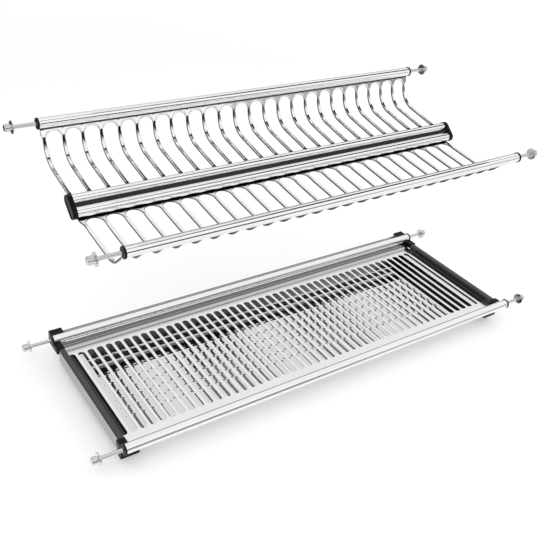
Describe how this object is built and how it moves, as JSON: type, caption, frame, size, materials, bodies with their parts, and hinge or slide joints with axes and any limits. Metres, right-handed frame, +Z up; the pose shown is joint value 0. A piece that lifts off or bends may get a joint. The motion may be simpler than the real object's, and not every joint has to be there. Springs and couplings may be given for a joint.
{
  "type": "cabinet dish rack",
  "caption": "Dish rack that hangs between the side walls of a kitchen cabinet, with a ribbed plate tier above a slotted shelf and a slide-out drip tray.",
  "frame": {"origin": "middle of the lower back tube's axis, half way between the two side walls of the cabinet", "axes": "+X along the tubes to the right as seen from the open front, +Y to the back of the cabinet, +Z up"},
  "size_m": [0.902, 0.37, 0.4105],
  "materials": {
    "polished_steel": "mirror-polished stainless steel",
    "satin_steel": "satin stainless steel",
    "rail_plastic": "dark grey moulded plastic with a fine matte grain",
    "black_plastic": "black moulded plastic, half matte",
    "pin_steel": "bright turned steel"
  },
  "bodies": {
    "rack": {"lower_back_tube": "polished_steel", "lower_front_tube": "polished_steel", "upper_back_tube": "polished_steel", "upper_front_tube": "polished_steel", "centre_rail": "polished_steel", "upper_back_strip": "polished_steel", "upper_back_ribs": "polished_steel", "centre_rail_strip": "polished_steel", "upper_front_ribs": "polished_steel", "upper_front_strip": "polished_steel", "rear_splash_strip": "satin_steel", "left_face_strip": "satin_steel", "right_face_strip": "satin_steel", "left_side_rail": "rail_plastic", "right_side_rail": "rail_plastic", "left_rail_cap": "black_plastic", "right_rail_cap": "black_plastic", "lower_back_left_fitting": "black_plastic", "lower_back_right_fitting": "black_plastic", "lower_front_left_fitting": "black_plastic", "lower_front_right_fitting": "black_plastic", "upper_back_left_bush": "black_plastic", "upper_back_right_bush": "black_plastic", "upper_front_left_bush": "black_plastic", "upper_front_right_bush": "black_plastic"},
    "lower_back_left_pin": {"lower_back_left_pin": "pin_steel"},
    "lower_back_right_pin": {"lower_back_right_pin": "pin_steel"},
    "lower_front_left_pin": {"lower_front_left_pin": "pin_steel"},
    "lower_front_right_pin": {"lower_front_right_pin": "pin_steel"},
    "upper_back_left_pin": {"upper_back_left_pin": "pin_steel"},
    "upper_back_right_pin": {"upper_back_right_pin": "pin_steel"},
    "upper_front_left_pin": {"upper_front_left_pin": "pin_steel"},
    "upper_front_right_pin": {"upper_front_right_pin": "pin_steel"},
    "drip_tray": {"drip_tray_pan": "polished_steel", "drip_tray_left_end": "black_plastic", "drip_tray_right_end": "black_plastic"},
    "slotted_plate": {"slotted_plate": "satin_steel"}
  },
  "joints": [
    {"name": "lower_back_left_pin_slide", "type": "slide", "parent": "rack", "child": "lower_back_left_pin", "axis": [-1, 0, 0], "range_m": [-0.035, 0.02]},
    {"name": "lower_back_right_pin_slide", "type": "slide", "parent": "rack", "child": "lower_back_right_pin", "axis": [1, 0, 0], "range_m": [-0.035, 0.02]},
    {"name": "lower_front_left_pin_slide", "type": "slide", "parent": "rack", "child": "lower_front_left_pin", "axis": [-1, 0, 0], "range_m": [-0.035, 0.02]},
    {"name": "lower_front_right_pin_slide", "type": "slide", "parent": "rack", "child": "lower_front_right_pin", "axis": [1, 0, 0], "range_m": [-0.035, 0.02]},
    {"name": "upper_back_left_pin_slide", "type": "slide", "parent": "rack", "child": "upper_back_left_pin", "axis": [-1, 0, 0], "range_m": [-0.035, 0.02]},
    {"name": "upper_back_right_pin_slide", "type": "slide", "parent": "rack", "child": "upper_back_right_pin", "axis": [1, 0, 0], "range_m": [-0.035, 0.02]},
    {"name": "upper_front_left_pin_slide", "type": "slide", "parent": "rack", "child": "upper_front_left_pin", "axis": [-1, 0, 0], "range_m": [-0.035, 0.02]},
    {"name": "upper_front_right_pin_slide", "type": "slide", "parent": "rack", "child": "upper_front_right_pin", "axis": [1, 0, 0], "range_m": [-0.035, 0.02]},
    {"name": "drip_tray_slide", "type": "slide", "parent": "rack", "child": "drip_tray", "axis": [0, -1, 0], "range_m": [0, 0.18]},
    {"name": "slotted_plate_lift", "type": "slide", "parent": "rack", "child": "slotted_plate", "axis": [0, 0, 1], "range_m": [0, 0.06]}
  ]
}
